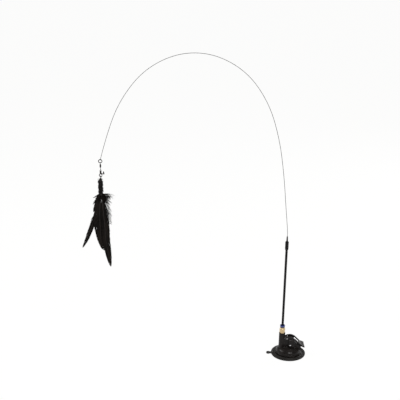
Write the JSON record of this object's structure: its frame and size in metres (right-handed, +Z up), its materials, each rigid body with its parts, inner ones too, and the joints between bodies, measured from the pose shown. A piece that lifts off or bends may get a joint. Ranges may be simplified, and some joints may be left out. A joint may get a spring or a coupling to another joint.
{
  "type": "cat teaser wand",
  "caption": "Lever-lock suction base holding an upright rod whose arched spring wire hangs a feather lure from a ring, swivel and clasp.",
  "frame": {"origin": "middle of the suction cup's sealing face, on the surface that it stands on", "axes": "+Z up along the cup's axis, -X towards the hanging lure, +X towards the lever's finger pad"},
  "size_m": [0.425, 0.066, 0.5833],
  "materials": {
    "cup_rubber": "satin",
    "gloss_black": "gloss",
    "stem_plastic": "satin",
    "spring_steel": "satin",
    "bright_steel": "polished",
    "brass": "satin",
    "blue_plastic": "gloss",
    "rod_black": "satin",
    "sleeve_black": "matte",
    "nickel": "polished",
    "black_thread": "matte",
    "quill": "matte",
    "feather": "satin",
    "down": "matte"
  },
  "bodies": {
    "base": {"suction_cup": "cup_rubber", "base_housing": "gloss_black", "fitting_body": "brass", "fitting_seal": "cup_rubber", "release_spring": "spring_steel"},
    "stem": {"cup_stem": "stem_plastic", "lever_pin": "bright_steel"},
    "lever_arm": {"lever": "gloss_black"},
    "grip": {"fitting_collet": "bright_steel"},
    "release": {"release_ring": "blue_plastic"},
    "wand": {"rod": "rod_black", "rod_collar": "sleeve_black", "tip_boot": "sleeve_black"},
    "spring_wire": {"wire": "spring_steel"},
    "ring": {"split_ring": "nickel"},
    "swivel_top": {"swivel_top_eye": "nickel"},
    "barrel": {"swivel_barrel": "nickel"},
    "swivel_low": {"swivel_bottom_eye": "nickel"},
    "clasp": {"clasp_body": "nickel", "clasp_rivet": "nickel", "clasp_spring": "spring_steel"},
    "gate": {"clasp_gate": "nickel"},
    "lure": {"cord_loop": "black_thread", "quill_core": "quill", "binding_thread": "black_thread", "long_feather": "feather", "broad_feather": "feather", "slim_feather": "feather", "side_feather": "feather", "back_feather": "feather", "down_plume": "down"}
  },
  "joints": [
    {"name": "stem_slide", "type": "slide", "parent": "base", "child": "stem", "axis": [0, 0, 1], "range_m": [-0.0022, 0], "deforming": ["suction_cup", "release_spring"]},
    {"name": "lever_turn", "type": "hinge", "parent": "stem", "child": "lever_arm", "pos_m": [0.0029, 0, 0.02095], "axis": [0, -1, 0], "range_deg": [0, 55]},
    {"name": "wand_turn", "type": "hinge", "parent": "base", "child": "grip", "pos_m": [-0.0125, 0, 0.0445], "axis": [0.0175, 0, 0.9998], "continuous": true},
    {"name": "release_press", "type": "slide", "parent": "grip", "child": "release", "axis": [0.0175, 0, 0.9998], "range_m": [-0.0009, 0], "stiffness_N_per_m": 400},
    {"name": "wand_pull", "type": "slide", "parent": "grip", "child": "wand", "axis": [0.0175, 0, 0.9998], "range_m": [0, 0.027]},
    {"name": "wire_flex", "type": "hinge", "parent": "wand", "child": "spring_wire", "pos_m": [-0.00904, 0, 0.24287], "axis": [0, 1, 0], "range_deg": [-15, 15], "stiffness_Nm_per_rad": 0.08, "springref_deg": 7.45, "deforming": ["wire"]},
    {"name": "ring_swing", "type": "hinge", "parent": "spring_wire", "child": "ring", "pos_m": [-0.35193, 0, 0.39013], "axis": [0, 1, 0], "range_deg": [-40, 40]},
    {"name": "swivel_swing", "type": "hinge", "parent": "ring", "child": "swivel_top", "pos_m": [-0.35193, 0, 0.3851], "axis": [1, 0, 0], "range_deg": [-40, 40]},
    {"name": "barrel_turn", "type": "hinge", "parent": "swivel_top", "child": "barrel", "pos_m": [-0.35193, 0, 0.3795], "axis": [0, 0, 1], "continuous": true},
    {"name": "low_eye_turn", "type": "hinge", "parent": "barrel", "child": "swivel_low", "pos_m": [-0.35193, 0, 0.3765], "axis": [0, 0, 1], "continuous": true},
    {"name": "clasp_swing", "type": "hinge", "parent": "swivel_low", "child": "clasp", "pos_m": [-0.35193, 0, 0.3712], "axis": [0, 1, 0], "range_deg": [-35, 35]},
    {"name": "gate_turn", "type": "hinge", "parent": "clasp", "child": "gate", "pos_m": [-0.3506, 0, 0.36415], "axis": [0, 1, 0], "range_deg": [0, 20], "stiffness_Nm_per_rad": 0.02, "springref_deg": -5.73},
    {"name": "lure_swing", "type": "hinge", "parent": "clasp", "child": "lure", "pos_m": [-0.35193, 0, 0.3592], "axis": [1, 0, 0], "range_deg": [-40, 40]}
  ],
  "couplings": [
    {"joint": "stem_slide", "follows": "lever_turn", "m_per_rad": -0.0022918}
  ]
}
